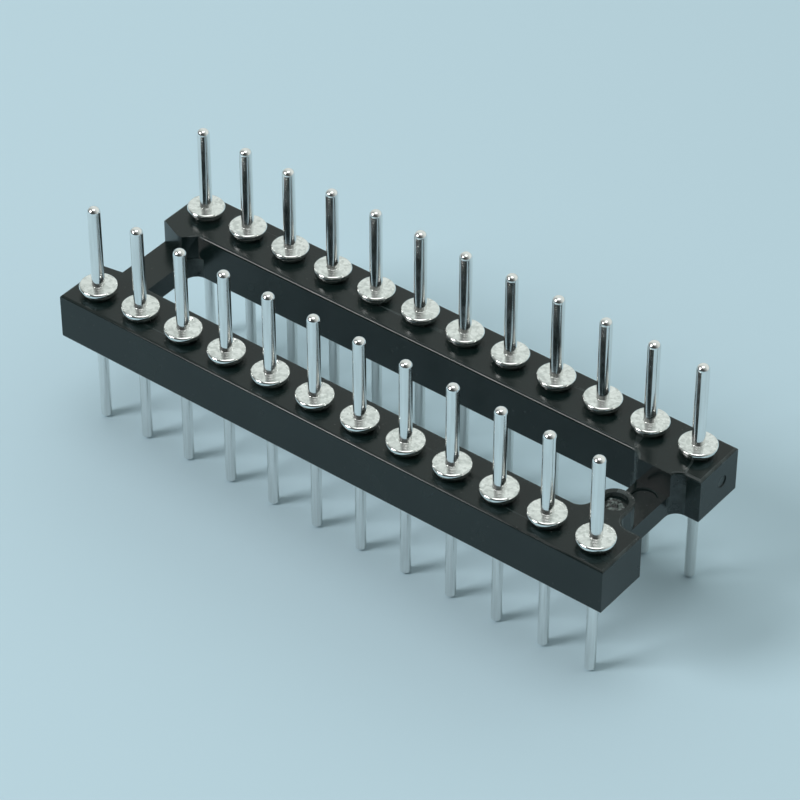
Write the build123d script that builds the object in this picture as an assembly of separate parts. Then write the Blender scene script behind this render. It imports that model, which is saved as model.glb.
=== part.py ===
from build123d import *
import os

# Two-row pin header, 24 ways: a moulded open frame that holds two rows of
# turned pins. Millimetres. The pin tails stand on Z 0, the pins point along Z,
# the rows run along X and the origin is midway between the rows and the ends.

# Pin grid
pins_per_row = 12
pin_pitch = 2.54
row_spacing = 7.62

# Moulded frame, whose walls are set out from the pin centres
end_margin = 1.27
outer_margin = 1.27
inner_margin = 1.59
frame_height = 2.42
inner_corner_radius = 0.6
edge_radius = 0.13

# Cross webs that join the two rails at their ends
flush_web_length = 1.79
notched_web_length = 1.7
notch_depth = 1.34
web_recess_depth = 1.28

# Recess over the web at the flush end, narrowest at its throat
flush_far_step = 0.54
flush_near_step = 0.22
flush_throat_length = 0.3
flush_outer_flare = 1.25

# Recess over the web at the notched end, between the gate pad and the rail
notched_recess_step = 0.4
notched_recess_flare = 0.45
gate_pad_offset = 1.1
mark_radius = 0.6
gate_mark_depth = 0.22
web_mark_depth = 0.1
web_mark_offset = 1.15

# Round mark in the end face of one rail
end_mark_radius = 0.3
end_mark_depth = 0.06
end_mark_drop = 1.18
end_mark_offset = 3.95

# Turned pins, each one piece from tail to plug
tail_reach = 4.86
tail_diameter = 0.5
tail_point = 0.1
barrel_diameter = 1.32
barrel_inset = 0.08
barrel_clearance = 0.005
flange_diameter = 1.8
flange_seat_diameter = 1.49
flange_height = 0.49
flange_gap = 0.01
flange_rim = 0.08
flange_rim_break = 0.04
plug_diameter = 0.6
plug_reach = 4.36
plug_round = 0.25

# Heights and lengths that follow from the sizes above
frame_length = (pins_per_row - 1) * pin_pitch + 2 * end_margin
frame_width = row_spacing + 2 * outer_margin
opening_width = row_spacing - 2 * inner_margin
frame_bottom = tail_reach
frame_top = frame_bottom + frame_height
web_top = frame_top - web_recess_depth
half_length = frame_length / 2
half_opening = opening_width / 2
flush_web_inner = -half_length + flush_web_length
notched_web_outer = half_length - notch_depth
notched_web_inner = notched_web_outer - notched_web_length
notched_web_middle = notched_web_outer - notched_web_length / 2
flange_top = frame_top + flange_height
plug_tip = flange_top + plug_reach
cut_margin = 1.0


def pin_positions():
    """Give each pin's X and Y, up one row and back along the other."""
    first = (pins_per_row - 1) * pin_pitch / 2
    back_row = [(first - n * pin_pitch, row_spacing / 2) for n in range(pins_per_row)]
    front_row = [(n * pin_pitch - first, -row_spacing / 2) for n in range(pins_per_row)]
    return back_row + front_row


def prism(sketch, bottom, top):
    """Extrude a plan sketch between two heights."""
    return Pos(0, 0, bottom) * extrude(sketch, top - bottom)


def round_pocket(x, y, radius, floor, top):
    """Make the round cutter of a shallow mark in a level face."""
    return prism(Pos(x, y) * Circle(radius), floor, top)


def frame_plan():
    """Draw the rails and webs from above, with the opening and end notch."""
    outline = Rectangle(frame_length, frame_width)
    opening_length = notched_web_inner - flush_web_inner
    opening_middle = (notched_web_inner + flush_web_inner) / 2
    opening = RectangleRounded(opening_length, opening_width, inner_corner_radius)
    notch_length = 2 * notch_depth
    notch = RectangleRounded(notch_length, opening_width, inner_corner_radius)
    plan = outline - Pos(opening_middle, 0) * opening
    return plan - Pos(half_length, 0) * notch


def frame_blank():
    """Extrude the plan and round its upper and lower edges."""
    blank = prism(frame_plan(), frame_bottom, frame_top)
    level_faces = blank.faces().filter_by(Axis.Z)
    return fillet(level_faces.edges(), edge_radius)


def flush_recess():
    """Cut away the flush web's top, flared towards the end and the opening."""
    end = -half_length
    throat_end = end + flush_outer_flare
    throat_start = throat_end + flush_throat_length
    inside = flush_web_inner + cut_margin
    corners = []
    for side, step in ((1, flush_far_step), (-1, flush_near_step)):
        throat = half_opening - step
        edge = [
            (end - cut_margin, side * half_opening),
            (end, side * half_opening),
            (throat_end, side * throat),
            (throat_start, side * throat),
            (throat_start + step, side * half_opening),
            (inside, side * half_opening),
        ]
        corners += edge[::side]
    return prism(make_face(Polyline(corners, close=True)), web_top, frame_top + cut_margin)


def notched_recess():
    """Cut away the notched web's top from the gate pad to the far rail."""
    outer = notched_web_outer + cut_margin
    inner = notched_web_inner - notched_recess_flare
    reach = half_opening - notched_recess_step
    corners = [
        (outer, -gate_pad_offset),
        (outer, reach),
        (notched_web_inner, reach),
        (inner, half_opening),
        (inner - cut_margin, half_opening),
        (inner - cut_margin, -gate_pad_offset),
    ]
    area = make_face(Polyline(corners, close=True))
    pad = Pos(notched_web_middle, -gate_pad_offset) * Circle(notched_web_length / 2)
    return prism(area - pad, web_top, frame_top + cut_margin)


def moulding_marks():
    """Make the cutters of the gate mark, the web mark and the end mark."""
    gate_floor = frame_top - gate_mark_depth
    gate = round_pocket(notched_web_middle, -gate_pad_offset, mark_radius, gate_floor, frame_top + cut_margin)
    web_floor = web_top - web_mark_depth
    web = round_pocket(notched_web_middle, web_mark_offset, mark_radius, web_floor, web_top + cut_margin)
    end_face = Plane(origin=(half_length, end_mark_offset, frame_top - end_mark_drop), z_dir=(1, 0, 0))
    end = extrude(end_face * Circle(end_mark_radius), -end_mark_depth)
    return [gate, web, end]


def insulator_frame():
    """Build the moulded frame with its recesses, marks and pin holes."""
    body = frame_blank() - flush_recess() - notched_recess()
    for mark in moulding_marks():
        body = body - mark
    hole_radius = barrel_diameter / 2 + barrel_clearance
    hole = Circle(hole_radius)
    holes = Sketch() + [Pos(x, y) * hole for x, y in pin_positions()]
    return body - prism(holes, frame_bottom - cut_margin, frame_top + cut_margin)


def turned_pin():
    """Revolve the outline of one pin: tail, barrel, tapered flange and plug."""
    tail = tail_diameter / 2
    barrel = barrel_diameter / 2
    flange = flange_diameter / 2
    seat = flange_seat_diameter / 2
    plug = plug_diameter / 2
    barrel_end = frame_bottom + barrel_inset
    flange_under = frame_top + flange_gap
    rim_under = flange_top - flange_rim
    flat = plug - plug_round
    outline = Polyline(
        (0, plug_tip),
        (0, 0),
        (tail - tail_point, 0),
        (tail, tail_point),
        (tail, barrel_end),
        (barrel, barrel_end),
        (barrel, flange_under),
        (seat, flange_under),
        (flange, rim_under),
        (flange, flange_top - flange_rim_break),
        (flange - flange_rim_break, flange_top),
        (plug, flange_top),
        (plug, plug_tip - plug_round),
    )
    tip = RadiusArc((plug, plug_tip - plug_round), (flat, plug_tip), -plug_round)
    cap = Line((flat, plug_tip), (0, plug_tip))
    profile = Plane.XZ * make_face(outline + tip + cap)
    return revolve(profile, Axis.Z)


def main():
    """Write one STEP file for the frame and one for each pin."""
    os.makedirs("parts", exist_ok=True)
    export_step(insulator_frame(), "parts/insulator_frame.step")
    pin = turned_pin()
    for number, (x, y) in enumerate(pin_positions(), start=1):
        export_step(Pos(x, y, 0) * pin, f"parts/contact_pin_{number:02d}.step")


main()
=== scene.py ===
"""Dresses a two-row pin header: a black moulded open frame with two rows of turned pins.

Units are metres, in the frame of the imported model: +X along the rows, +Y across
them, +Z up along the pins, and Z 0 at the tips of the lower tails.
"""

import logging
import math
from dataclasses import dataclass, field
from enum import Enum

import bmesh
import bpy
from mathutils import Matrix, Vector, noise


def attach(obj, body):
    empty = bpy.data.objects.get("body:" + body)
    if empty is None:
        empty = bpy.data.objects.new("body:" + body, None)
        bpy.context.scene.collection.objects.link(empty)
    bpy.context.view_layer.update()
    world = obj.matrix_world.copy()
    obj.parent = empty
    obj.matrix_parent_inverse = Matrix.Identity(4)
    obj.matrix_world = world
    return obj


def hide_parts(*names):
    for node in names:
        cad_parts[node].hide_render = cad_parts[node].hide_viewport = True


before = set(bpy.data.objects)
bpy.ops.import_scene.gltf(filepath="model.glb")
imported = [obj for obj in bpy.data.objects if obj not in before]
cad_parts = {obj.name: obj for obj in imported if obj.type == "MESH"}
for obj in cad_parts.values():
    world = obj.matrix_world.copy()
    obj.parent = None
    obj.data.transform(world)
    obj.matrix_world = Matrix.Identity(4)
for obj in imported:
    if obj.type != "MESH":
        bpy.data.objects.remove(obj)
log = logging.getLogger("dip_header")

MILLIMETRE = 0.001
BODY = "root"
FLAT_FACE_WEIGHT = 90

Socket = bpy.types.NodeSocket
Value = Socket | float | int | bool | tuple[float, ...]


class Slot(Enum):
    """Material slots of the record."""

    INSULATOR = "insulator"
    CONTACT = "contact"


class Region(Enum):
    """Material indices on the moulded frame."""

    MOULDED = 0
    GATE = 1


class Wiring:
    """Adds nodes and links to one node tree."""

    def __init__(self, tree: bpy.types.NodeTree) -> None:
        """Keep the tree and empty it.

        Args:
            tree: The node tree to fill.
        """
        self.tree = tree
        tree.nodes.clear()

    def node(self, kind: str, **settings: object) -> bpy.types.Node:
        """Add one node.

        Args:
            kind: Blender's name of the node type.
            **settings: Properties to set on the node.

        Returns:
            The new node.
        """
        made = self.tree.nodes.new(kind)
        for name, value in settings.items():
            setattr(made, name, value)
        return made

    def feed(self, socket: Socket, value: Value) -> None:
        """Link a socket to another socket, or set its constant.

        Args:
            socket: The input to feed.
            value: An output socket, or a plain value.
        """
        if isinstance(value, bpy.types.NodeSocket):
            self.tree.links.new(value, socket)
        else:
            socket.default_value = value

    def make(
        self,
        kind: str,
        inputs: dict[str | int, Value],
        output: str | int = 0,
        **settings: object,
    ) -> Socket:
        """Add a node, feed its inputs and give one output.

        Args:
            kind: Blender's name of the node type.
            inputs: Values by the input's name or number.
            output: Name or number of the output wanted.
            **settings: Properties to set on the node.

        Returns:
            The output socket.
        """
        made = self.node(kind, **settings)
        for name, value in inputs.items():
            self.feed(made.inputs[name], value)
        return made.outputs[output]

    def math(self, operation: str, *values: Value) -> Socket:
        """Add a Math node and give its result."""
        return self.make("ShaderNodeMath", dict(enumerate(values)), operation=operation)

    def noise(
        self, vector: Socket, scale: Value, detail: float = 3.0, roughness: float = 0.55
    ) -> Socket:
        """Add a Noise Texture and give its factor.

        Args:
            vector: Coordinates to read.
            scale: Features per metre, or per millimetre where the coordinates are so.
            detail: Octaves.
            roughness: Share that each finer octave keeps.

        Returns:
            The noise factor, about 0.5 on average.
        """
        return self.make(
            "ShaderNodeTexNoise",
            {"Vector": vector, "Scale": scale, "Detail": detail, "Roughness": roughness},
            "Fac",
        )

    def remap(
        self, value: Value, low: Value, high: Value, to_low: Value, to_high: Value
    ) -> Socket:
        """Map a range to another, clamped at both ends.

        Args:
            value: The value to map.
            low: Start of its range.
            high: End of its range.
            to_low: Result at the start.
            to_high: Result at the end.

        Returns:
            The mapped value.
        """
        return self.make(
            "ShaderNodeMapRange",
            {
                "Value": value,
                "From Min": low,
                "From Max": high,
                "To Min": to_low,
                "To Max": to_high,
            },
        )

    def bump(self, height: Socket, depth: float) -> Socket:
        """Turn a height into a normal.

        Args:
            height: Height of the skin, in shares of the depth.
            depth: Metres that a height of 1 stands for.

        Returns:
            The bumped normal.
        """
        return self.make(
            "ShaderNodeBump", {"Strength": 1.0, "Distance": depth, "Height": height}, "Normal"
        )

    def split(self, vector: Socket) -> list[Socket]:
        """Take a vector apart.

        Args:
            vector: The vector.

        Returns:
            Its X, Y and Z.
        """
        parts = self.node("ShaderNodeSeparateXYZ")
        self.feed(parts.inputs[0], vector)
        return list(parts.outputs)

    def blend_colour(self, factor: Value, first: Value, second: Value) -> Socket:
        """Mix two colours.

        Args:
            factor: Share of the second colour.
            first: The colour at 0.
            second: The colour at 1.

        Returns:
            The mixed colour.
        """
        made = self.node("ShaderNodeMix", data_type="RGBA")
        self.feed(made.inputs["Factor"], factor)
        self.feed(made.inputs["A"], first)
        self.feed(made.inputs["B"], second)
        return made.outputs["Result"]


def shader_group(
    name: str, inputs: dict[str, float], outputs: list[str]
) -> tuple[Wiring, dict[str, Socket], bpy.types.Node]:
    """Start a shader node group with named sockets.

    Args:
        name: The group's name.
        inputs: Default of each float input by name, after a Position vector.
        outputs: Names of the float outputs.

    Returns:
        The wiring, the input sockets by name, and the output node.
    """
    tree = bpy.data.node_groups.new(name, "ShaderNodeTree")
    wiring = Wiring(tree)
    tree.interface.new_socket("Position", in_out="INPUT", socket_type="NodeSocketVector")
    for label, default in inputs.items():
        socket = tree.interface.new_socket(label, in_out="INPUT", socket_type="NodeSocketFloat")
        socket.default_value = default
    for label in outputs:
        tree.interface.new_socket(label, in_out="OUTPUT", socket_type="NodeSocketFloat")
    entry = wiring.node("NodeGroupInput")
    leaving = wiring.node("NodeGroupOutput")
    return wiring, {s.name: s for s in entry.outputs if s.name}, leaving


@dataclass
class SurfaceEffects:
    """Shader node groups that the finishes share.

    The turning marks read millimetres, the other groups read metres.
    """

    fine_share: float = 0.35
    speck_patches: float = 0.23
    speck_core: float = 0.5
    worn_and_highlight_span: tuple[float, float] = (0.35, 0.62)
    wander: float = 1.4
    wander_scale: float = 3.0
    sector_reach: float = 1.5
    sector_scale: float = 0.35
    grain: bpy.types.NodeTree = field(init=False)
    dust: bpy.types.NodeTree = field(init=False)
    turning: bpy.types.NodeTree = field(init=False)
    wear_and_highlight: bpy.types.NodeTree = field(init=False)

    def build(self) -> None:
        """Make each group once."""
        self.grain = self.build_grain()
        self.dust = self.build_dust()
        self.turning = self.build_turning()
        self.wear_and_highlight = self.build_wear_and_highlight()

    def build_grain(self) -> bpy.types.NodeTree:
        """Make the fine unevenness of a moulded or plated skin.

        Returns:
            A group that gives a Height and a slow Tone, both about 0.5.
        """
        wiring, given, leaving = shader_group(
            "Surface Grain", {"Fine Scale": 9000.0, "Slow Scale": 600.0}, ["Height", "Tone"]
        )
        fine = wiring.noise(given["Position"], given["Fine Scale"], detail=4.0)
        slow = wiring.noise(given["Position"], given["Slow Scale"], detail=2.0)
        fine_part = wiring.math("MULTIPLY", fine, self.fine_share)
        slow_part = wiring.math("MULTIPLY", slow, 1.0 - self.fine_share)
        wiring.feed(leaving.inputs["Height"], wiring.math("ADD", fine_part, slow_part))
        wiring.feed(leaving.inputs["Tone"], slow)
        return wiring.tree

    def build_dust(self) -> bpy.types.NodeTree:
        """Make scattered specks.

        Returns:
            A group whose Mask is 1 on a speck and 0 between them.
        """
        wiring, given, leaving = shader_group(
            "Fine Specks", {"Scale": 5000.0, "Amount": 0.2}, ["Mask"]
        )
        cells = wiring.make(
            "ShaderNodeTexVoronoi",
            {"Vector": given["Position"], "Scale": given["Scale"], "Randomness": 1.0},
            "Distance",
        )
        patch_scale = wiring.math("MULTIPLY", given["Scale"], self.speck_patches)
        patch = wiring.noise(given["Position"], patch_scale, detail=2.0)
        reach = wiring.math("MULTIPLY", given["Amount"], patch)
        core = wiring.math("MULTIPLY", reach, self.speck_core)
        mask = wiring.remap(cells, core, reach, 1.0, 0.0)
        wiring.feed(leaving.inputs["Mask"], mask)
        return wiring.tree

    def build_turning(self) -> bpy.types.NodeTree:
        """Make the fine rings that a lathe tool leaves about the Z axis.

        Returns:
            A group that gives a ring Height, and a Tone of sectors about the axis for painted shade
            of the turned sheen, both 0 to 1.
        """
        wiring, given, leaving = shader_group(
            "Turning Marks and Sector Shade",
            {"Rings per Millimetre": 16.0, "Lines per Millimetre": 12.0, "Sectors": 9.0},
            ["Height", "Tone"],
        )
        x, y, z = wiring.split(given["Position"])
        squares = [wiring.math("MULTIPLY", part, part) for part in (x, y)]
        radius = wiring.math("SQRT", wiring.math("ADD", *squares))
        turn = wiring.math("ARCTAN2", y, x)
        drift = wiring.noise(given["Position"], self.wander_scale, detail=2.0)
        phase = wiring.math("MULTIPLY", drift, self.wander)
        for along, count in ((radius, "Rings per Millimetre"), (z, "Lines per Millimetre")):
            turns = wiring.math("MULTIPLY", along, given[count])
            phase = wiring.math("ADD", wiring.math("MULTIPLY", turns, math.tau), phase)
        rings = wiring.math("SINE", phase)
        wiring.feed(leaving.inputs["Height"], wiring.math("MULTIPLY_ADD", rings, 0.5, 0.5))
        # Sectors about the axis, used as painted shade of the turned sheen.
        sector = wiring.make(
            "ShaderNodeCombineXYZ",
            {
                "X": wiring.math("MULTIPLY", turn, given["Sectors"]),
                "Y": wiring.math("MULTIPLY", radius, self.sector_reach),
                "Z": z,
            },
        )
        wiring.feed(leaving.inputs["Tone"], wiring.noise(sector, self.sector_scale, detail=2.0))
        return wiring.tree

    def build_wear_and_highlight(self) -> bpy.types.NodeTree:
        """Make worn edges, which also carry a painted highlight, out of a mask that is 1 on rounded
        edges.

        Returns:
            A group that gives a broken-up Mask.
        """
        wiring, given, leaving = shader_group(
            "Edge Wear and Highlight", {"Edge": 0.0, "Scale": 1500.0, "Amount": 0.6}, ["Mask"]
        )
        patch = wiring.noise(given["Position"], given["Scale"], detail=4.0, roughness=0.65)
        kept = wiring.remap(patch, *self.worn_and_highlight_span, 0.0, 1.0)
        on_edges = wiring.math("MULTIPLY", kept, given["Edge"])
        wiring.feed(leaving.inputs["Mask"], wiring.math("MULTIPLY", on_edges, given["Amount"]))
        return wiring.tree


def use_group(wiring: Wiring, tree: bpy.types.NodeTree, values: dict[str, Value]) -> bpy.types.Node:
    """Place a node group and feed its inputs.

    Args:
        wiring: The material's wiring.
        tree: The group.
        values: Inputs by name.

    Returns:
        The group node.
    """
    made = wiring.node("ShaderNodeGroup")
    made.node_tree = tree
    for name, value in values.items():
        wiring.feed(made.inputs[name], value)
    return made


def start_material(name: str) -> tuple[bpy.types.Material, Wiring, bpy.types.Node]:
    """Make an empty node material with a Principled shader.

    Args:
        name: The material's name.

    Returns:
        The material, its wiring and its shader.
    """
    material = bpy.data.materials.new(name)
    material.use_nodes = True
    wiring = Wiring(material.node_tree)
    shader = wiring.node("ShaderNodeBsdfPrincipled")
    output = wiring.node("ShaderNodeOutputMaterial")
    wiring.feed(output.inputs["Surface"], shader.outputs["BSDF"])
    return material, wiring, shader


def rgba(colour: tuple[float, float, float]) -> tuple[float, float, float, float]:
    """Add full alpha to a colour."""
    return (*colour, 1.0)


@dataclass(frozen=True)
class MouldedBlack:
    """Glossy black moulding: fine uneven skin, worn edges lightened partly as a painted highlight,
    and a few specks.
    """

    name: str = "moulded_black"
    colour: tuple[float, float, float] = (0.0024, 0.0080, 0.0076)
    pale_colour: tuple[float, float, float] = (0.0050, 0.0120, 0.0110)
    rubbed_and_highlight_colour: tuple[float, float, float] = (0.045, 0.060, 0.060)
    speck_colour: tuple[float, float, float] = (0.050, 0.055, 0.052)
    tone_span: tuple[float, float] = (0.3, 0.7)
    roughness: tuple[float, float] = (0.16, 0.30)
    rubbed_and_highlight_share: float = 0.8
    rubbed_dulling: float = 0.12
    bump_depth: float = 1.6e-6
    ior: float = 1.43

    def material(self, effects: SurfaceEffects) -> bpy.types.Material:
        """Build the material.

        Args:
            effects: The shared shader groups.

        Returns:
            The finished material.
        """
        material, wiring, shader = start_material(self.name)
        place = wiring.node("ShaderNodeTexCoord").outputs["Object"]
        edge = wiring.node("ShaderNodeAttribute", attribute_name="rounded_edge").outputs["Fac"]
        grain = use_group(
            wiring, effects.grain, {"Position": place, "Fine Scale": 7000.0, "Slow Scale": 420.0}
        )
        specks = use_group(
            wiring, effects.dust, {"Position": place, "Scale": 2600.0, "Amount": 0.16}
        )
        wear_and_highlight = use_group(
            wiring,
            effects.wear_and_highlight,
            {"Position": place, "Edge": edge, "Scale": 1300.0, "Amount": self.rubbed_and_highlight_share},
        )
        tone = wiring.remap(grain.outputs["Tone"], *self.tone_span, 0.0, 1.0)
        skin = wiring.blend_colour(tone, rgba(self.colour), rgba(self.pale_colour))
        # Rounded edges turn lighter: partly worn plastic, partly a painted highlight along the
        # edges.
        rubbed_and_highlit = wiring.blend_colour(wear_and_highlight.outputs["Mask"], skin, rgba(self.rubbed_and_highlight_colour))
        specked = wiring.blend_colour(specks.outputs["Mask"], rubbed_and_highlit, rgba(self.speck_colour))
        wiring.feed(shader.inputs["Base Color"], specked)
        rough = wiring.remap(grain.outputs["Tone"], *self.tone_span, *self.roughness)
        dulled = wiring.math("MULTIPLY_ADD", wear_and_highlight.outputs["Mask"], self.rubbed_dulling, rough)
        wiring.feed(shader.inputs["Roughness"], dulled)
        shader.inputs["IOR"].default_value = self.ior
        bump = wiring.bump(grain.outputs["Height"], self.bump_depth)
        wiring.feed(shader.inputs["Normal"], bump)
        return material


@dataclass(frozen=True)
class GateScar:
    """Broken plastic where the moulding was torn from its gate."""

    name: str = "gate_scar"
    colour: tuple[float, float, float] = (0.012, 0.016, 0.016)
    torn_colour: tuple[float, float, float] = (0.17, 0.21, 0.20)
    torn_span: tuple[float, float] = (0.44, 0.64)
    tone_span: tuple[float, float] = (0.35, 0.65)
    roughness: tuple[float, float] = (0.18, 0.5)
    bump_depth: float = 3.0e-5

    def material(self, effects: SurfaceEffects) -> bpy.types.Material:
        """Build the material.

        Args:
            effects: The shared shader groups.

        Returns:
            The finished material.
        """
        material, wiring, shader = start_material(self.name)
        place = wiring.node("ShaderNodeTexCoord").outputs["Object"]
        grain = use_group(
            wiring, effects.grain, {"Position": place, "Fine Scale": 16000.0, "Slow Scale": 5200.0}
        )
        torn = wiring.remap(grain.outputs["Tone"], *self.torn_span, 0.0, 1.0)
        mottled = wiring.blend_colour(torn, rgba(self.colour), rgba(self.torn_colour))
        wiring.feed(shader.inputs["Base Color"], mottled)
        rough = wiring.remap(grain.outputs["Tone"], *self.tone_span, *self.roughness)
        wiring.feed(shader.inputs["Roughness"], rough)
        bump = wiring.bump(grain.outputs["Height"], self.bump_depth)
        wiring.feed(shader.inputs["Normal"], bump)
        return material


@dataclass(frozen=True)
class TinPlate:
    """Bright tin on turned brass, with tool rings, slight tarnishing, and darker sectors painted as
    shade of the turned sheen.
    """

    name: str
    colour: tuple[float, float, float] = (0.88, 0.88, 0.87)
    tarnish_and_shade: tuple[float, float, float] = (0.62, 0.62, 0.61)
    tone_span: tuple[float, float] = (0.3, 0.7)
    roughness: tuple[float, float] = (0.10, 0.20)
    ring_depth: float = 0.6e-6
    grain_share: float = 0.6
    shade_sector_span: tuple[float, float] = (0.35, 0.65)
    shade_sector_share: float = 0.45
    rings: float = 0.0
    lines: float = 7.0
    sectors: float = 6.0
    patch_scale: float = 1500.0
    patch_span: tuple[float, float] = (0.42, 0.62)
    patch_share: float = 0.0

    def material(self, effects: SurfaceEffects) -> bpy.types.Material:
        """Build the material.

        Args:
            effects: The shared shader groups.

        Returns:
            The finished material.
        """
        material, wiring, shader = start_material(self.name)
        place = wiring.node("ShaderNodeTexCoord").outputs["Object"]
        turned = wiring.node("ShaderNodeAttribute", attribute_name="turned_at").outputs["Vector"]
        marks = use_group(
            wiring,
            effects.turning,
            {
                "Position": turned,
                "Rings per Millimetre": self.rings,
                "Lines per Millimetre": self.lines,
                "Sectors": self.sectors,
            },
        )
        grain = use_group(
            wiring,
            effects.grain,
            {"Position": place, "Fine Scale": 12000.0, "Slow Scale": self.patch_scale},
        )
        specks = use_group(
            wiring, effects.dust, {"Position": place, "Scale": 6500.0, "Amount": 0.22}
        )
        # Darker sectors about the axis: painted shade of the turned face's sheen.
        tone = wiring.remap(marks.outputs["Tone"], *self.shade_sector_span, 0.0, self.shade_sector_share)
        patches = wiring.remap(grain.outputs["Tone"], *self.patch_span, 0.0, self.patch_share)
        tarnish_and_shade_share = wiring.math("MAXIMUM", tone, patches)
        metal = wiring.blend_colour(tarnish_and_shade_share, rgba(self.colour), rgba(self.tarnish_and_shade))
        specked = wiring.blend_colour(specks.outputs["Mask"], metal, rgba(self.tarnish_and_shade))
        wiring.feed(shader.inputs["Base Color"], specked)
        shader.inputs["Metallic"].default_value = 1.0
        rough = wiring.remap(grain.outputs["Tone"], *self.tone_span, *self.roughness)
        wiring.feed(shader.inputs["Roughness"], rough)
        height = wiring.math(
            "MULTIPLY_ADD", grain.outputs["Height"], self.grain_share, marks.outputs["Height"]
        )
        wiring.feed(shader.inputs["Normal"], wiring.bump(height, self.ring_depth))
        return material


def finished_mesh(piece: bpy.types.Object, name: str) -> bpy.types.Object:
    """Bake a piece's modifiers and give a plain object at the origin.

    Args:
        piece: The object with its modifiers set.
        name: Name of the plain object.

    Returns:
        The plain object, linked to the scene.
    """
    bpy.context.view_layer.update()
    graph = bpy.context.evaluated_depsgraph_get()
    mesh = bpy.data.meshes.new_from_object(
        piece.evaluated_get(graph), preserve_all_data_layers=True, depsgraph=graph
    )
    mesh.name = name
    bpy.data.objects.remove(piece)
    plain = bpy.data.objects.new(name, mesh)
    bpy.context.scene.collection.objects.link(plain)
    return plain


def weigh_normals(piece: bpy.types.Object, name: str) -> bpy.types.Object:
    """Shade a mesh smoothly while its flat faces stay flat.

    Args:
        piece: A plain mesh object.
        name: Name of the result.

    Returns:
        The object with its normals weighted by face area.
    """
    modifier = piece.modifiers.new("flat faces stay flat", "WEIGHTED_NORMAL")
    modifier.mode = "FACE_AREA"
    modifier.weight = FLAT_FACE_WEIGHT
    modifier.keep_sharp = True
    return finished_mesh(piece, name)


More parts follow.
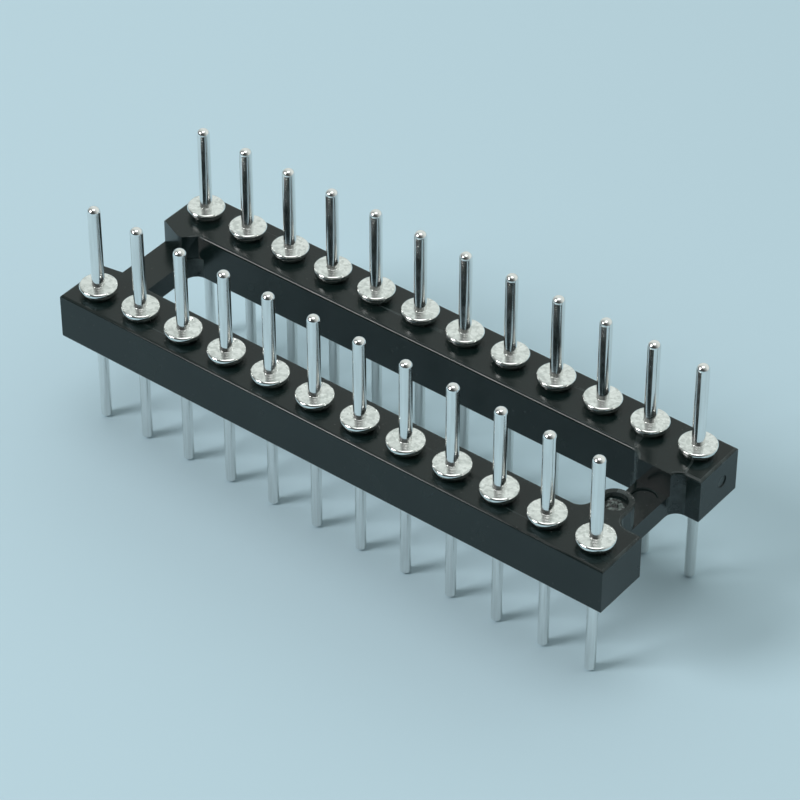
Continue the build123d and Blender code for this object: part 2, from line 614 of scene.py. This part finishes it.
@dataclass
class MouldedFrame:
    """The open insulator frame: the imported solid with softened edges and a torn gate.

    Sizes are millimetres, but weld_distance is metres.
    """

    node: str = "insulator_frame"
    weld_distance: float = 1e-7
    flat_angle: float = math.radians(1.0)
    sharp_angle: float = math.radians(32.0)
    bevel_width: float = 0.035
    bevel_segments: int = 2
    rounded_face_area: float = 0.35
    gate_centre: tuple[float, float, float] = (13.05, -1.1, 7.06)
    gate_radius: float = 0.47
    gate_height: float = 0.2
    gate_sink: float = 0.03
    gate_skin: float = 0.01
    gate_rings: int = 14
    gate_steps: int = 44
    gate_roughness: float = 5.2
    gate_noise_start: tuple[float, float, float] = (4.1, 2.3, 0.7)
    gate_noise_falloff: float = 0.9
    gate_noise_step: float = 2.1
    gate_noise_octaves: int = 4
    gate_base: float = 0.42
    gate_rise: float = 0.75
    gate_rim_wander: float = 0.22
    gate_rim_start: float = 3.7
    gate_rim_scale: float = 3.0

    def build(self) -> bpy.types.Object:
        """Make the frame's mesh.

        Returns:
            The frame, in place of its CAD node.
        """
        shape = bmesh.new()
        shape.from_mesh(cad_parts[self.node].data)
        bmesh.ops.remove_doubles(shape, verts=shape.verts, dist=self.weld_distance)
        bmesh.ops.dissolve_limit(
            shape, angle_limit=self.flat_angle, verts=shape.verts, edges=shape.edges, delimit=set()
        )
        mesh = bpy.data.meshes.new("moulding")
        shape.to_mesh(mesh)
        shape.free()
        piece = bpy.data.objects.new("moulding", mesh)
        bpy.context.scene.collection.objects.link(piece)
        bevel = piece.modifiers.new("softened edges", "BEVEL")
        bevel.limit_method = "ANGLE"
        bevel.angle_limit = self.sharp_angle
        bevel.width = self.bevel_width * MILLIMETRE
        bevel.segments = self.bevel_segments
        bevel.use_clamp_overlap = True
        softened = finished_mesh(piece, "moulding_softened")
        self.drop_folds(softened.data)
        self.mark_edges(softened.data)
        self.add_gate_scar(softened.data)
        softened.data.shade_smooth()
        return weigh_normals(softened, "moulded_frame")

    def drop_folds(self, mesh: bpy.types.Mesh) -> None:
        """Remove pairs of faces that the softening laid back to back.

        Args:
            mesh: The frame's mesh.
        """
        shape = bmesh.new()
        shape.from_mesh(mesh)
        bmesh.ops.remove_doubles(shape, verts=shape.verts, dist=self.weld_distance)
        seen: dict[frozenset[int], bmesh.types.BMFace] = {}
        folded = []
        for face in shape.faces:
            key = frozenset(vertex.index for vertex in face.verts)
            if key in seen:
                folded += [face, seen[key]]
            seen[key] = face
        bmesh.ops.delete(shape, geom=folded, context="FACES")
        shape.to_mesh(mesh)
        shape.free()

    def mark_edges(self, mesh: bpy.types.Mesh) -> None:
        """Write which face corners lie on a rounded edge.

        Args:
            mesh: The frame's mesh, whose flat faces are large.
        """
        values = []
        limit = self.rounded_face_area * MILLIMETRE**2
        for face in mesh.polygons:
            values += [1.0 if face.area < limit else 0.0] * face.loop_total
        layer = mesh.attributes.new("rounded_edge", "FLOAT", "CORNER")
        layer.data.foreach_set("value", values)

    def gate_point(self, share: float, turn: float) -> Vector:
        """Give one point of the torn nub's ragged skin.

        Args:
            share: How far out it lies, 0 in the middle and 1 at the rim.
            turn: Its angle about the middle.

        Returns:
            The point in millimetres from the middle of the recess.
        """
        flat = Vector((math.cos(turn), math.sin(turn), 0)) * share * self.gate_radius
        rim = Vector((flat.x, flat.y, self.gate_rim_start)) * self.gate_rim_scale
        ragged = 1.0 + self.gate_rim_wander * noise.noise(rim)
        rise = noise.fractal(
            flat * self.gate_roughness + Vector(self.gate_noise_start),
            self.gate_noise_falloff,
            self.gate_noise_step,
            self.gate_noise_octaves,
        )
        domed = (self.gate_base + self.gate_rise * rise) * self.gate_height * (1 - share**3)
        level = min(max(self.gate_skin, domed), self.gate_height)
        if share == 1.0:
            level = -self.gate_sink
        return flat * ragged + Vector((0, 0, level))

    def add_gate_scar(self, mesh: bpy.types.Mesh) -> None:
        """Add the torn nub that stands in the gate recess.

        Args:
            mesh: The frame's mesh, which gains the nub.
        """
        shape = bmesh.new()
        shape.from_mesh(mesh)
        centre = Vector(self.gate_centre) * MILLIMETRE
        rings: list[list[bmesh.types.BMVert]] = []
        for ring in range(self.gate_rings + 1):
            share = ring / self.gate_rings
            count = 1 if ring == 0 else self.gate_steps
            row = []
            for step in range(count):
                spot = centre + self.gate_point(share, math.tau * step / count) * MILLIMETRE
                row.append(shape.verts.new(spot))
            rings.append(row)
        for inner, outer in zip(rings, rings[1:]):
            for step in range(self.gate_steps):
                ahead = (step + 1) % self.gate_steps
                if len(inner) == 1:
                    corners = (inner[0], outer[step], outer[ahead])
                else:
                    corners = (inner[step], outer[step], outer[ahead], inner[ahead])
                shape.faces.new(corners).material_index = Region.GATE.value
        shape.faces.new(rings[-1][::-1]).material_index = Region.GATE.value
        shape.to_mesh(mesh)
        shape.free()

    def dress(self, piece: bpy.types.Object, effects: SurfaceEffects) -> None:
        """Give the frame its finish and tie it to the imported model.

        Args:
            piece: The finished frame.
            effects: The shared shader groups.
        """
        finishes = {Region.MOULDED: MouldedBlack(), Region.GATE: GateScar()}
        for region in Region:
            piece.data.materials.append(finishes[region].material(effects))
        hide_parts(self.node)
        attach(piece, BODY)


@dataclass(frozen=True)
class Corner:
    """One corner of a pin's outline: radius and height in millimetres, and its rounding."""

    radius: Value
    height: Value
    rounding: Value = 0.0


@dataclass
class TurnedPins:
    """Two rows of one-piece turned pins, made by one Geometry Nodes tree.

    Sizes are millimetres, heights are above the tips of the tails. The flange finish
    goes up past the flange top by finish_change, a share of the rim rounding.
    """

    pins_per_row: int = 12
    pin_pitch: float = 2.54
    row_spacing: float = 7.62
    tail_diameter: float = 0.5
    tail_point: float = 0.1
    barrel_bottom: float = 4.94
    barrel_diameter: float = 1.32
    seat_height: float = 7.29
    seat_diameter: float = 1.49
    flange_under: float = 7.58
    flange_top: float = 7.77
    flange_diameter: float = 1.8
    plug_diameter: float = 0.6
    plug_tip: float = 12.13
    plug_round: float = 0.25
    rim_rounding: float = 0.095
    fine_rounding: float = 0.02
    segments: int = 48
    seam_distance: float = 1e-4
    tip_steps: int = 9
    corner_steps: int = 3
    finish_change: float = 0.6
    seed: int = 7

    @property
    def names(self) -> tuple[str, ...]:
        """Give the node of every pin."""
        numbers = range(1, 2 * self.pins_per_row + 1)
        return tuple(f"contact_pin_{number:02d}" for number in numbers)

    def inputs(self) -> dict[str, tuple[str, float]]:
        """Give the tree's inputs.

        Returns:
            Socket type and value of each input, by name.
        """
        return {
            "Pins per Row": ("NodeSocketInt", self.pins_per_row),
            "Pin Pitch": ("NodeSocketFloat", self.pin_pitch),
            "Row Spacing": ("NodeSocketFloat", self.row_spacing),
            "Tail Diameter": ("NodeSocketFloat", self.tail_diameter),
            "Tail Point": ("NodeSocketFloat", self.tail_point),
            "Barrel Bottom": ("NodeSocketFloat", self.barrel_bottom),
            "Barrel Diameter": ("NodeSocketFloat", self.barrel_diameter),
            "Seat Height": ("NodeSocketFloat", self.seat_height),
            "Seat Diameter": ("NodeSocketFloat", self.seat_diameter),
            "Flange Under": ("NodeSocketFloat", self.flange_under),
            "Flange Top": ("NodeSocketFloat", self.flange_top),
            "Flange Diameter": ("NodeSocketFloat", self.flange_diameter),
            "Plug Diameter": ("NodeSocketFloat", self.plug_diameter),
            "Plug Tip": ("NodeSocketFloat", self.plug_tip),
            "Plug Rounding": ("NodeSocketFloat", self.plug_round),
            "Rim Rounding": ("NodeSocketFloat", self.rim_rounding),
            "Fine Rounding": ("NodeSocketFloat", self.fine_rounding),
            "Segments": ("NodeSocketInt", self.segments),
            "Seed": ("NodeSocketInt", self.seed),
        }

    def choose(self, wiring: Wiring, kind: str, options: list[Value]) -> Socket:
        """Pick one value by the index of the point.

        Args:
            wiring: The tree's wiring.
            kind: Data type of the values.
            options: One value for each point.

        Returns:
            The chosen value, as a field.
        """
        switch = wiring.node("GeometryNodeIndexSwitch", data_type=kind)
        while len(switch.index_switch_items) < len(options):
            switch.index_switch_items.new()
        wiring.feed(switch.inputs["Index"], wiring.node("GeometryNodeInputIndex").outputs[0])
        for number, option in enumerate(options):
            wiring.feed(switch.inputs[number + 1], option)
        return switch.outputs[0]

    def outline(self, wiring: Wiring, given: dict[str, Socket]) -> Socket:
        """Draw half of a pin's section as a curve with rounded corners.

        Args:
            wiring: The tree's wiring.
            given: The tree's inputs by name.

        Returns:
            The curve in the XZ plane.
        """

        def half(name: str) -> Socket:
            """Give half of a diameter."""
            return wiring.math("MULTIPLY", given[name], 0.5)

        tail, barrel, seat = half("Tail Diameter"), half("Barrel Diameter"), half("Seat Diameter")
        flange, plug = half("Flange Diameter"), half("Plug Diameter")
        fine, rim = given["Fine Rounding"], given["Rim Rounding"]
        corners = [
            Corner(0.0, 0.0),
            Corner(wiring.math("SUBTRACT", tail, given["Tail Point"]), 0.0, fine),
            Corner(tail, given["Tail Point"], fine),
            Corner(tail, given["Barrel Bottom"], fine),
            Corner(barrel, given["Barrel Bottom"], fine),
            Corner(barrel, given["Seat Height"]),
            Corner(seat, given["Seat Height"], fine),
            Corner(flange, given["Flange Under"], rim),
            Corner(flange, given["Flange Top"], rim),
            Corner(plug, given["Flange Top"], fine),
            Corner(plug, given["Plug Tip"], given["Plug Rounding"]),
            Corner(0.0, given["Plug Tip"]),
        ]
        line = wiring.make("GeometryNodeMeshLine", {"Count": len(corners)}, "Mesh")
        radius = self.choose(wiring, "FLOAT", [corner.radius for corner in corners])
        height = self.choose(wiring, "FLOAT", [corner.height for corner in corners])
        spot = wiring.make("ShaderNodeCombineXYZ", {"X": radius, "Y": 0.0, "Z": height})
        placed = wiring.make(
            "GeometryNodeSetPosition", {"Geometry": line, "Position": spot}, "Geometry"
        )
        curve = wiring.make("GeometryNodeMeshToCurve", {"Mesh": placed}, "Curve")
        steps = [
            self.tip_steps if corner.rounding is given["Plug Rounding"] else self.corner_steps
            for corner in corners
        ]
        return wiring.make(
            "GeometryNodeFilletCurve",
            {
                "Curve": curve,
                "Count": self.choose(wiring, "INT", steps),
                "Radius": self.choose(wiring, "FLOAT", [corner.rounding for corner in corners]),
            },
            "Curve",
            mode="POLY",
        )

    def turn(self, wiring: Wiring, curve: Socket, given: dict[str, Socket]) -> Socket:
        """Turn the outline about the Z axis into a closed pin.

        Args:
            wiring: The tree's wiring.
            curve: The outline.
            given: The tree's inputs by name.

        Returns:
            The pin's mesh, with its own millimetres kept as turned_at.
        """
        points = wiring.make(
            "GeometryNodeAttributeDomainSize", {"Geometry": curve}, "Point Count", component="CURVE"
        )
        around = wiring.math("ADD", given["Segments"], 1.0)
        grid = wiring.make(
            "GeometryNodeMeshGrid", {"Vertices X": points, "Vertices Y": around}, "Mesh"
        )
        index = wiring.node("GeometryNodeInputIndex").outputs[0]
        along = wiring.math("FLOOR", wiring.math("DIVIDE", index, around))
        step = wiring.math("MODULO", index, around)
        angle = wiring.math("MULTIPLY", wiring.math("DIVIDE", step, given["Segments"]), math.tau)
        position = wiring.node("GeometryNodeInputPosition").outputs[0]
        sampled = wiring.make(
            "GeometryNodeSampleIndex",
            {"Geometry": curve, "Value": position, "Index": along},
            data_type="FLOAT_VECTOR",
            domain="POINT",
        )
        radius, _, height = wiring.split(sampled)
        spot = wiring.make(
            "ShaderNodeCombineXYZ",
            {
                "X": wiring.math("MULTIPLY", radius, wiring.math("COSINE", angle)),
                "Y": wiring.math("MULTIPLY", radius, wiring.math("SINE", angle)),
                "Z": height,
            },
        )
        turned = wiring.make(
            "GeometryNodeSetPosition", {"Geometry": grid, "Position": spot}, "Geometry"
        )
        closed = wiring.make(
            "GeometryNodeMergeByDistance",
            {"Geometry": turned, "Distance": self.seam_distance},
            "Geometry",
        )
        outward = wiring.make("GeometryNodeFlipFaces", {"Mesh": closed}, "Mesh")
        return wiring.make(
            "GeometryNodeStoreNamedAttribute",
            {"Geometry": outward, "Name": "turned_at", "Value": position},
            "Geometry",
            data_type="FLOAT_VECTOR",
            domain="POINT",
        )

    def rows(self, wiring: Wiring, given: dict[str, Socket]) -> Socket:
        """Lay out one point for each pin.

        Args:
            wiring: The tree's wiring.
            given: The tree's inputs by name.

        Returns:
            The points of both rows.
        """
        last = wiring.math("SUBTRACT", given["Pins per Row"], 1.0)
        start = wiring.math("MULTIPLY", wiring.math("MULTIPLY", last, given["Pin Pitch"]), -0.5)
        joined = wiring.node("GeometryNodeJoinGeometry")
        for side in (0.5, -0.5):
            across = wiring.math("MULTIPLY", given["Row Spacing"], side)
            first = wiring.make("ShaderNodeCombineXYZ", {"X": start, "Y": across})
            offset = wiring.make("ShaderNodeCombineXYZ", {"X": given["Pin Pitch"]})
            row = wiring.make(
                "GeometryNodeMeshLine",
                {"Count": given["Pins per Row"], "Start Location": first, "Offset": offset},
                "Mesh",
            )
            wiring.tree.links.new(row, joined.inputs[0])
        return joined.outputs[0]

    def tree(self, plug: bpy.types.Material, flange: bpy.types.Material) -> bpy.types.NodeTree:
        """Build the tree that makes every pin.

        Args:
            plug: Finish of the drawn plugs and tails.
            flange: Finish of the turned flanges and barrels.

        Returns:
            The Geometry Nodes tree.
        """
        tree = bpy.data.node_groups.new("Turned Pin Rows", "GeometryNodeTree")
        wiring = Wiring(tree)
        tree.interface.new_socket("Geometry", in_out="INPUT", socket_type="NodeSocketGeometry")
        for name, (kind, value) in self.inputs().items():
            tree.interface.new_socket(name, in_out="INPUT", socket_type=kind).default_value = value
        tree.interface.new_socket("Geometry", in_out="OUTPUT", socket_type="NodeSocketGeometry")
        entry = wiring.node("NodeGroupInput")
        given = {socket.name: socket for socket in entry.outputs if socket.name}
        pin = self.turn(wiring, self.outline(wiring, given), given)
        turns = wiring.make(
            "FunctionNodeRandomValue",
            {"Min": 0.0, "Max": math.tau, "Seed": given["Seed"]},
            "Value",
            data_type="FLOAT",
        )
        placed = wiring.make(
            "GeometryNodeInstanceOnPoints",
            {
                "Points": self.rows(wiring, given),
                "Instance": pin,
                "Rotation": wiring.make("ShaderNodeCombineXYZ", {"Z": turns}),
            },
            "Instances",
        )
        small = wiring.make(
            "GeometryNodeTransform", {"Geometry": placed, "Scale": (MILLIMETRE,) * 3}, "Geometry"
        )
        real = wiring.make("GeometryNodeRealizeInstances", {"Geometry": small}, "Geometry")
        own = wiring.make(
            "GeometryNodeInputNamedAttribute",
            {"Name": "turned_at"},
            "Attribute",
            data_type="FLOAT_VECTOR",
        )
        height = wiring.split(own)[2]
        above = wiring.math("GREATER_THAN", height, given["Barrel Bottom"])
        rim = wiring.math("MULTIPLY", given["Rim Rounding"], self.finish_change)
        below = wiring.math("LESS_THAN", height, wiring.math("ADD", given["Flange Top"], rim))
        on_flange = wiring.math("MULTIPLY", above, below)
        dressed = wiring.make(
            "GeometryNodeSetMaterial", {"Geometry": real, "Material": plug}, "Geometry"
        )
        result = wiring.make(
            "GeometryNodeSetMaterial",
            {"Geometry": dressed, "Selection": on_flange, "Material": flange},
            "Geometry",
        )
        leaving = wiring.node("NodeGroupOutput")
        wiring.feed(leaving.inputs["Geometry"], result)
        return tree

    def build(self, effects: SurfaceEffects) -> bpy.types.Object:
        """Make the mesh of all pins.

        Args:
            effects: The shared shader groups.

        Returns:
            The pins, as one plain mesh.
        """
        plug = TinPlate("tin_plug").material(effects)
        flange = TinPlate(
            "tin_flange",
            colour=(0.92, 0.94, 0.92),
            tarnish_and_shade=(0.60, 0.63, 0.61),
            roughness=(0.09, 0.20),
            ring_depth=0.8e-6,
            rings=5.5,
            lines=5.0,
            sectors=13.0,
            patch_scale=4200.0,
            patch_share=0.75,
        ).material(effects)
        mesh = bpy.data.meshes.new("pin_rows")
        piece = bpy.data.objects.new("pin_rows", mesh)
        bpy.context.scene.collection.objects.link(piece)
        modifier = piece.modifiers.new("turned pins", "NODES")
        tree = self.tree(plug, flange)
        modifier.node_group = tree
        values = self.inputs()
        for item in tree.interface.items_tree:
            if item.in_out == "INPUT" and item.name in values:
                modifier[item.identifier] = values[item.name][1]
        plain = finished_mesh(piece, "contact_pins_raw")
        plain.data.shade_smooth()
        return weigh_normals(plain, "contact_pins")

    def dress(self, piece: bpy.types.Object) -> None:
        """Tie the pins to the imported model.

        Args:
            piece: The finished pins.
        """
        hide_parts(*self.names)
        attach(piece, BODY)


@dataclass
class Studio:
    """Pale floor, soft lamps, room and camera.

    Sizes are metres, but the lens and the sensor are millimetres.
    """

    floor_size: float = 3.0
    floor_drop: float = 0.000004
    floor_colour: tuple[float, float, float] = (0.50, 0.66, 0.74)
    lamp_aim: tuple[float, float, float] = (0.0, 0.0, 0.006)
    key_place: tuple[float, float, float] = (-0.235, -0.32, 0.31)
    key_size: float = 0.20
    key_power: float = 1.4
    top_place: tuple[float, float, float] = (0.0, 0.0, 0.55)
    top_size: float = 0.34
    top_power: float = 0.6
    room_colour: tuple[float, float, float] = (0.93, 1.0, 0.97)
    room_span: tuple[float, float] = (-0.6, 0.5)
    room_strength: tuple[float, float] = (0.06, 0.82)
    camera_place: tuple[float, float, float] = (0.07869, -0.10032, 0.11177)
    camera_right: tuple[float, float, float] = (0.7889, 0.6146, 0.0)
    camera_up: tuple[float, float, float] = (-0.3935, 0.5050, 0.7682)
    camera_back: tuple[float, float, float] = (0.4721, -0.6060, 0.6402)
    lens: float = 166.22
    sensor: float = 36.0

    def build(self) -> None:
        """Make the floor, the lights, the world and the camera."""
        self.floor()
        self.lights()
        self.world()
        self.camera()
        bpy.context.scene.view_settings.view_transform = "Standard"

    def floor(self) -> None:
        """Lay the floor under the tails."""
        half = self.floor_size / 2
        mesh = bpy.data.meshes.new("studio_floor")
        corners = [(-half, -half), (half, -half), (half, half), (-half, half)]
        mesh.from_pydata([(x, y, -self.floor_drop) for x, y in corners], [], [(0, 1, 2, 3)])
        floor = bpy.data.objects.new("studio_floor", mesh)
        bpy.context.scene.collection.objects.link(floor)
        material, wiring, shader = start_material("studio_paper")
        shader.inputs["Base Color"].default_value = rgba(self.floor_colour)
        shader.inputs["Roughness"].default_value = 0.9
        shader.inputs["Specular IOR Level"].default_value = 0.1
        mesh.materials.append(material)

    def lamp(
        self, name: str, place: tuple[float, float, float], size: float, power: float
    ) -> None:
        """Hang one round soft lamp.

        Args:
            name: The lamp's name.
            place: Where it hangs.
            size: Its diameter.
            power: Watts.
        """
        data = bpy.data.lights.new(name, "AREA")
        data.shape = "DISK"
        data.size = size
        data.energy = power
        lamp = bpy.data.objects.new(name, data)
        lamp.location = place
        direction = Vector(self.lamp_aim) - Vector(place)
        lamp.rotation_euler = direction.to_track_quat("-Z", "Y").to_euler()
        bpy.context.scene.collection.objects.link(lamp)

    def lights(self) -> None:
        """Hang the key lamp in front to the left and a fainter lamp overhead."""
        self.lamp("key_lamp", self.key_place, self.key_size, self.key_power)
        self.lamp("top_lamp", self.top_place, self.top_size, self.top_power)

    def world(self) -> None:
        """Surround the stage with a soft room: bright behind, dim towards the camera."""
        world = bpy.data.worlds.new("studio_room")
        world.use_nodes = True
        wiring = Wiring(world.node_tree)
        way = wiring.node("ShaderNodeTexCoord").outputs["Generated"]
        behind = wiring.remap(wiring.split(way)[1], *self.room_span, *self.room_strength)
        background = wiring.node("ShaderNodeBackground")
        wiring.feed(background.inputs["Strength"], behind)
        background.inputs["Color"].default_value = rgba(self.room_colour)
        output = wiring.node("ShaderNodeOutputWorld")
        wiring.feed(output.inputs["Surface"], background.outputs[0])
        bpy.context.scene.world = world

    def camera(self) -> None:
        """Set the camera at the photograph's viewing angle."""
        data = bpy.data.cameras.new("view_camera")
        data.lens = self.lens
        data.sensor_width = self.sensor
        data.clip_start = 0.01
        data.clip_end = 10.0
        camera = bpy.data.objects.new("view_camera", data)
        axes = (Vector(self.camera_right), Vector(self.camera_up), Vector(self.camera_back))
        turned = Matrix([axis.normalized() for axis in axes]).transposed()
        camera.matrix_world = Matrix.Translation(self.camera_place) @ turned.to_4x4()
        bpy.context.scene.collection.objects.link(camera)
        bpy.context.scene.camera = camera


def main() -> None:
    """Build each sub-assembly in order."""
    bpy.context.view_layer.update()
    effects = SurfaceEffects()
    effects.build()
    moulding = MouldedFrame()
    moulded = moulding.build()
    moulding.dress(moulded, effects)
    log.info("%s: %d faces", moulded.name, len(moulded.data.polygons))
    pins = TurnedPins()
    turned = pins.build(effects)
    pins.dress(turned)
    log.info("%s: %d faces", turned.name, len(turned.data.polygons))
    Studio().build()


if __name__ == "__main__":
    logging.basicConfig(level=logging.INFO, format="%(name)s %(message)s")
    main()
